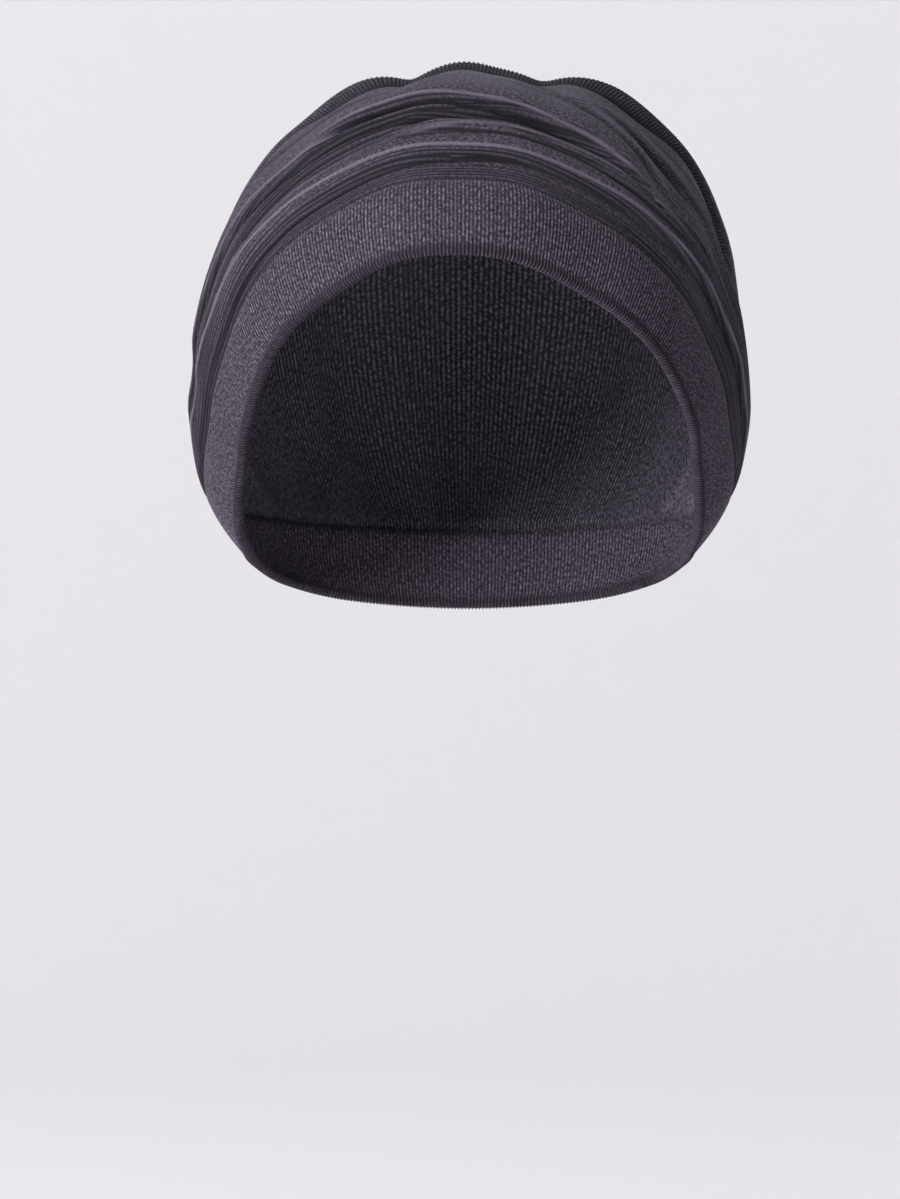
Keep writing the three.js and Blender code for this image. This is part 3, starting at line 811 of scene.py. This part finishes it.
def back_panel(sizes):
    """Back panel, with ribs that run from its rim to the nape."""
    places = np.linspace(-EAR_TO_EAR, EAR_TO_EAR, LINE_SAMPLES)
    u = even_ribs(rear_seam(places), places, sizes.rib_pitch)
    rim_rows = np.linspace(0, RIM_END, RIM_STEPS, endpoint=False)
    back_rows = np.linspace(RIM_END, LAP_START, BACK_STEPS, endpoint=False)
    w = np.concatenate([rim_rows, back_rows, np.linspace(LAP_START, 1, LAP_STEPS)])
    u, w = grid(u, w)
    middle = lapped(back_surface(u, w, sizes.gather_rise), u)
    normal = grid_frame(middle)[0]
    nape_side = band_frame(nape_station(u))[3]
    seam_side = unit(rear_seam(u) - HUB_POINT)
    normal = seam_turned(normal, middle, u, seam_side, nape_side)
    edge = edge_round(middle, u)
    index = np.broadcast_to(np.arange(u.shape[0])[:, None], u.shape)
    # the rim's share also sets painted shade in the colour there
    at_rim = bell(w, RIM_PLACE) * plateau(u - RIM_CENTRE, RIM_REACH)
    height = np.cos(2 * np.pi * index / SAMPLES_PER_RIB) * edge
    height = height * (BACK_RIBS + (RIM_RIBS - BACK_RIBS) * at_rim)
    rib = {"height": height, "inner": -height * BACK_RIBS, "depth": sizes.rib_depth / 2}
    place = np.stack([index / SAMPLES_PER_RIB * sizes.rib_pitch, arc_lengths(middle, 1), at_rim], -1)
    # painted shade in the crevice along the rear seam
    painted_light = -bell(arc_lengths(middle, 1), CREVICE)
    wall = sizes.cloth * edge
    return panel_piece("back_panel_cloth", middle, normal, wall, rib, place, painted_light, BACK_SKIP)


def band_outline():
    """Closed section of the folded strip: places across and out, and how deep the ribs are there."""
    roll, half = EDGE_ROLL / 2, BAND_THICKNESS / 2
    turn = np.linspace(np.pi / 2, 3 * np.pi / 2, ROLL_STEPS)
    fold = np.stack([roll + roll * np.cos(turn), roll * np.sin(turn), ROLL_RIBS + 0 * turn], -1)
    share = FACE_START + (1 - FACE_START) * np.linspace(0, 1, FACE_STEPS) ** FACE_SPREAD
    across = share * BAND_WIDTH
    bow = BAND_BOW * np.sin(np.pi * share) - ROLL_GROOVE * bell(across - EDGE_ROLL, EDGE_ROLL / 4)
    closing = EDGE_WALL + (1 - EDGE_WALL) * rounded((1 - share) * BAND_WIDTH, 2 * EDGE_ROUND)
    depth = FACE_RIBS + (ROLL_RIBS - FACE_RIBS) * bell(across - EDGE_ROLL / 2, EDGE_ROLL / 3)
    inside = np.stack([across, bow - half * closing, depth], -1)
    outside = np.stack([across, bow + half * closing, depth], -1)[::-1]
    return np.concatenate([fold, inside, outside])


def head_band(sizes):
    """Folded band, with ribs that run across it and stand out along its front edge."""
    places = np.linspace(0, FULL_TURN, LINE_SAMPLES)
    edge, strip, _ = band_at(places)
    stations = even_ribs(edge + strip / 2, places, sizes.rib_pitch)
    stations = stations[:-1]
    edge, width, across, outward = (line[:, None] for line in band_frame(stations))
    outline = band_outline()
    from_edge, out, depth = outline.T
    chord = np.roll(outline[:, :2], 1, 0) - np.roll(outline[:, :2], -1, 0)
    facing = unit(chord) @ np.array([[0, 1], [-1, 0]])
    middle = edge + across * (from_edge[:, None] / BAND_WIDTH * width) + outward * out[:, None]
    normal = across * facing[:, :1] + outward * facing[:, 1:]
    index = np.arange(len(stations))[:, None]
    height = np.cos(2 * np.pi * index / SAMPLES_PER_RIB) * depth
    points = middle + normal * (height * sizes.rib_depth / 2)[..., None]
    columns, rows = height.shape
    ids = np.arange(columns * rows).reshape(columns, rows)
    right, up = np.roll(ids, -1, 0), np.roll(ids, -1, 1)
    faces = quads(ids, up, np.roll(up, -1, 0), right)
    no_triangles = np.zeros((0, 3), int)
    around = index / SAMPLES_PER_RIB * sizes.rib_pitch
    at_roll = bell(from_edge - EDGE_ROLL / 3, EDGE_ROLL / 2)
    around, from_edge, at_roll = np.broadcast_arrays(around, from_edge, at_roll)
    place = np.stack([around, from_edge, at_roll], -1).reshape(-1, 3)
    # painted shade on the rolled edge
    cloth = (place, np.clip(height, -1, 1), -ROLL_PAINTED_SHADE * at_roll)
    return make_mesh("head_band_cloth", points.reshape(-1, 3), faces, no_triangles, *cloth)


def link(tree, output, target):
    tree.links.new(output, target)


def node(tree, kind, **values):
    """Shader node with its properties and the values of its inputs."""
    made = tree.nodes.new(kind)
    for name, value in values.items():
        if name in made.inputs:
            made.inputs[name].default_value = value
        else:
            setattr(made, name, value)
    return made


def maths(tree, operation, first, second):
    """Result of one operation on two values, each a socket or a number."""
    made = node(tree, "ShaderNodeMath", operation=operation)
    for socket, value in zip(made.inputs, (first, second)):
        if isinstance(value, (int, float)):
            socket.default_value = value
        else:
            link(tree, value, socket)
    return made.outputs[0]


def blended(tree, amount, first, second):
    """Mix of two colours, each a socket or a value."""
    made = node(tree, "ShaderNodeMix", data_type="RGBA")
    link(tree, amount, made.inputs[0])
    for socket, value in zip(made.inputs[6:8], (first, second)):
        if isinstance(value, tuple):
            socket.default_value = (*value, 1)
        else:
            link(tree, value, socket)
    return made.outputs[2]


def stretched_noise(tree, place, across, along, detail):
    """Noise over the cloth's own coordinates, with a scale across the ribs and one along them."""
    scaled = node(tree, "ShaderNodeVectorMath", operation="MULTIPLY")
    link(tree, place, scaled.inputs[0])
    scaled.inputs[1].default_value = (across, along, 0)
    noise = node(tree, "ShaderNodeTexNoise", Scale=1.0, Detail=detail)
    link(tree, scaled.outputs[0], noise.inputs["Vector"])
    return noise.outputs["Fac"]


def ranged(tree, value, low, high, out_low, out_high):
    """A value carried over from one range to another, and held at its ends."""
    made = node(tree, "ShaderNodeMapRange")
    made.inputs[1].default_value, made.inputs[2].default_value = low, high
    made.inputs[3].default_value, made.inputs[4].default_value = out_low, out_high
    link(tree, value, made.inputs[0])
    return made.outputs[0]


def tinted(colour, shares):
    return tuple(min(1.0, channel * share) for channel, share in zip(colour, shares))


def jersey_sources(tree, place):
    """Noises of the jersey, height of its ribs, its painted shade and highlight, and how closely they lie.
    """
    sources = {name: stretched_noise(tree, place, *scales) for name, *scales in JERSEY_NOISES}
    for name, attribute in (("rib", "rib_height"), ("painted_light", "painted_shade_and_highlight")):
        sources[name] = node(tree, "ShaderNodeAttribute", attribute_name=attribute).outputs["Fac"]
    parts = node(tree, "ShaderNodeSeparateXYZ")
    link(tree, place, parts.inputs[0])
    sources["along"] = parts.outputs[1]
    # how closely the ribs lie, which lowers the heather's contrast and sets painted shade
    sources["packing"] = parts.outputs[2]
    return sources


def jersey_colour(tree, sources, colour):
    """Heather yarn with painted shade in the rib valleys, where the ribs lie close and in crevices, and
    painted highlights on ridges, laid up from the table of layers.
    """
    base = tinted(colour, DARK_FIBRES)
    contrast = ranged(tree, sources["packing"], 0, 1, *HEATHER)
    for source, low, high, least, most, shares in JERSEY_LAYERS:
        amount = ranged(tree, sources[source], low, high, least, most)
        if source == "heather":
            amount = maths(tree, "MULTIPLY", amount, contrast)
        base = blended(tree, amount, base, tinted(colour, shares))
    return base


def jersey(name, colour):
    """Heather rib knit: mixed yarn, painted shade in the valleys between the ribs and in crevices, painted
    highlights on ridges, loops, wear and a soft sheen.
    """
    material = bpy.data.materials.new(name)
    material.use_nodes = True
    tree = material.node_tree
    shader = tree.nodes["Principled BSDF"]
    place = node(tree, "ShaderNodeAttribute", attribute_name="cloth_place").outputs["Vector"]
    sources = jersey_sources(tree, place)
    link(tree, jersey_colour(tree, sources, colour), shader.inputs["Base Color"])
    turns = maths(tree, "MULTIPLY", sources["along"], 2 * np.pi / LOOP_PITCH)
    loops = maths(tree, "MULTIPLY", maths(tree, "SINE", turns, 0), LOOP_HEIGHT)
    bump = node(tree, "ShaderNodeBump", Strength=FIBRE_STRENGTH, Distance=FIBRE_HEIGHT)
    link(tree, maths(tree, "ADD", loops, sources["fibres"]), bump.inputs["Height"])
    link(tree, bump.outputs[0], shader.inputs["Normal"])
    link(tree, ranged(tree, sources["fibres"], *FIBRE_SPREAD, *ROUGHNESS), shader.inputs["Roughness"])
    shader.inputs["Specular IOR Level"].default_value = SPECULAR
    shader.inputs["Sheen Weight"].default_value = SHEEN
    shader.inputs["Sheen Roughness"].default_value = SHEEN_ROUGHNESS
    shader.inputs["Sheen Tint"].default_value = (*SHEEN_TINT, 1)
    return material


def lit_paper(name, colour):
    """Pale paper with some light of its own, so that it is as pale from every side."""
    material = bpy.data.materials.new(name)
    material.use_nodes = True
    shader = material.node_tree.nodes["Principled BSDF"]
    shader.inputs["Base Color"].default_value = (*colour, 1)
    shader.inputs["Roughness"].default_value = PAPER_ROUGHNESS
    shader.inputs["Specular IOR Level"].default_value = PAPER_SPECULAR
    shader.inputs["Emission Color"].default_value = (*colour, 1)
    shader.inputs["Emission Strength"].default_value = PAPER_GLOW
    return material


def dress(piece, cad_node, slot, colour):
    """Give a piece its jersey and set it in place of its solid."""
    piece.data.materials.append(jersey(slot, colour))
    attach(piece, "root")
    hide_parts(cad_node)


class TURBAN_OT_head_band(bpy.types.Operator):
    """Build the folded head band over its solid."""

    bl_idname = "turban.head_band"
    bl_label = "Head band"

    def execute(self, context):
        piece = head_band(context.scene.turban_sizes)
        dress(piece, "head_band", "band_jersey", context.scene.turban_colours.band)
        return {"FINISHED"}


class TURBAN_OT_front_drape(bpy.types.Operator):
    """Build the front panel, draped in rolls from ear to ear, over its solid."""

    bl_idname = "turban.front_drape"
    bl_label = "Front drape"

    def execute(self, context):
        piece = front_drape(context.scene.turban_sizes)
        dress(piece, "front_drape", "drape_jersey", context.scene.turban_colours.drape)
        return {"FINISHED"}


class TURBAN_OT_back_panel(bpy.types.Operator):
    """Build the back panel, gathered at the nape, over its solid."""

    bl_idname = "turban.back_panel"
    bl_label = "Back panel"

    def execute(self, context):
        piece = back_panel(context.scene.turban_sizes)
        dress(piece, "back_panel", "back_jersey", context.scene.turban_colours.back)
        return {"FINISHED"}


def studio_sweep(bottom, material):
    """Pale floor that turns up into a backdrop."""
    turn = np.linspace(-np.pi / 2, 0, SWEEP_STEPS)
    middle_y, middle_z = BACKDROP_REACH - SWEEP_RADIUS, bottom + SWEEP_RADIUS
    profile = [(FLOOR_FRONT, bottom)]
    profile += [(middle_y + SWEEP_RADIUS * np.cos(a), middle_z + SWEEP_RADIUS * np.sin(a)) for a in turn]
    profile.append((BACKDROP_REACH, BACKDROP_TOP))
    half = STAGE_WIDTH / 2
    points = [(x, y, z) for y, z in profile for x in (-half, half)]
    faces = [(2 * k, 2 * k + 1, 2 * k + 3, 2 * k + 2) for k in range(len(profile) - 1)]
    mesh = bpy.data.meshes.new("studio_sweep")
    mesh.from_pydata(points, [], faces)
    for polygon in mesh.polygons:
        polygon.use_smooth = True
    mesh.materials.append(material)
    sweep = bpy.data.objects.new("studio_sweep", mesh)
    bpy.context.scene.collection.objects.link(sweep)


def area_light(name, place, target, size, power, colour):
    """Soft round light, aimed at a point."""
    light = bpy.data.lights.new(name, "AREA")
    light.shape = "DISK"
    light.size = size
    light.energy = power
    light.color = colour
    lamp = bpy.data.objects.new(name, light)
    lamp.location = place
    lamp.rotation_euler = (Vector(target) - Vector(place)).to_track_quat("-Z", "Y").to_euler()
    bpy.context.scene.collection.objects.link(lamp)


def surroundings():
    """Weak light from all around, which the camera sees as a pale background."""
    world = bpy.data.worlds.new("studio")
    world.use_nodes = True
    tree = world.node_tree
    background = tree.nodes["Background"]
    background.inputs["Color"].default_value = (*WORLD_COLOUR, 1)
    seen = node(tree, "ShaderNodeLightPath").outputs["Is Camera Ray"]
    link(tree, ranged(tree, seen, 0, 1, WORLD_STRENGTH, WORLD_SEEN), background.inputs["Strength"])
    return world


def photo_camera():
    """Level camera in front of the wrap, as in the photo."""
    camera = bpy.data.cameras.new("camera")
    camera.sensor_fit = "VERTICAL"
    camera.sensor_height = SENSOR
    camera.lens = FOCAL_PIXELS / PHOTO_HEIGHT * SENSOR
    camera.clip_end = FAR_LIMIT
    eye = bpy.data.objects.new("camera", camera)
    eye.location = CAMERA_PLACE
    eye.rotation_euler = (np.pi / 2, 0, 0)
    bpy.context.scene.collection.objects.link(eye)
    return eye


class TURBAN_OT_stage(bpy.types.Operator):
    """Set the floor, the backdrop, the soft lights and the camera."""

    bl_idname = "turban.stage"
    bl_label = "Studio"

    def execute(self, context):
        scene = context.scene
        low, high = CAD_BOX[0][2], CAD_BOX[1][2]
        studio_sweep(low - FLOOR_DROP, lit_paper("studio", scene.turban_colours.floor))
        middle = (low + high) / 2
        for name, place, *values in LIGHTS:
            area_light(name, place, (0, 0, middle), *values)
        area_light("floor_light", FLOOR_LIGHT, FLOOR_TARGET, *PAPER_LIGHT)
        for side in BACKDROP_LIGHTS:
            target = (0, BACKDROP_REACH, middle)
            area_light("backdrop_light", (side, *BACKDROP_PLACE), target, *PAPER_LIGHT)
        scene.world = surroundings()
        scene.view_settings.view_transform = "Standard"
        scene.camera = photo_camera()
        return {"FINISHED"}


class TURBAN_PT_panel(bpy.types.Panel):
    """Sizes, colours and pieces of the turban headwrap."""

    bl_idname = "TURBAN_PT_panel"
    bl_label = "Turban headwrap"
    bl_space_type = "VIEW_3D"
    bl_region_type = "UI"
    bl_category = "Turban"

    def draw(self, context):
        for group, kind in (
            (context.scene.turban_sizes, TurbanSizes),
            (context.scene.turban_colours, TurbanColours),
        ):
            for name in kind.__annotations__:
                self.layout.prop(group, name)
        for operator in OPERATORS:
            self.layout.operator(operator.bl_idname)


OPERATORS = (TURBAN_OT_head_band, TURBAN_OT_front_drape, TURBAN_OT_back_panel, TURBAN_OT_stage)
CLASSES = (TurbanSizes, TurbanColours, *OPERATORS, TURBAN_PT_panel)


def register():
    for kind in CLASSES:
        bpy.utils.register_class(kind)
    bpy.types.Scene.turban_sizes = bpy.props.PointerProperty(type=TurbanSizes)
    bpy.types.Scene.turban_colours = bpy.props.PointerProperty(type=TurbanColours)


def unregister():
    del bpy.types.Scene.turban_colours
    del bpy.types.Scene.turban_sizes
    for kind in reversed(CLASSES):
        bpy.utils.unregister_class(kind)


def main():
    register()
    bpy.ops.turban.head_band()
    bpy.ops.turban.front_drape()
    bpy.ops.turban.back_panel()
    bpy.ops.turban.stage()


if __name__ == "__main__":
    main()
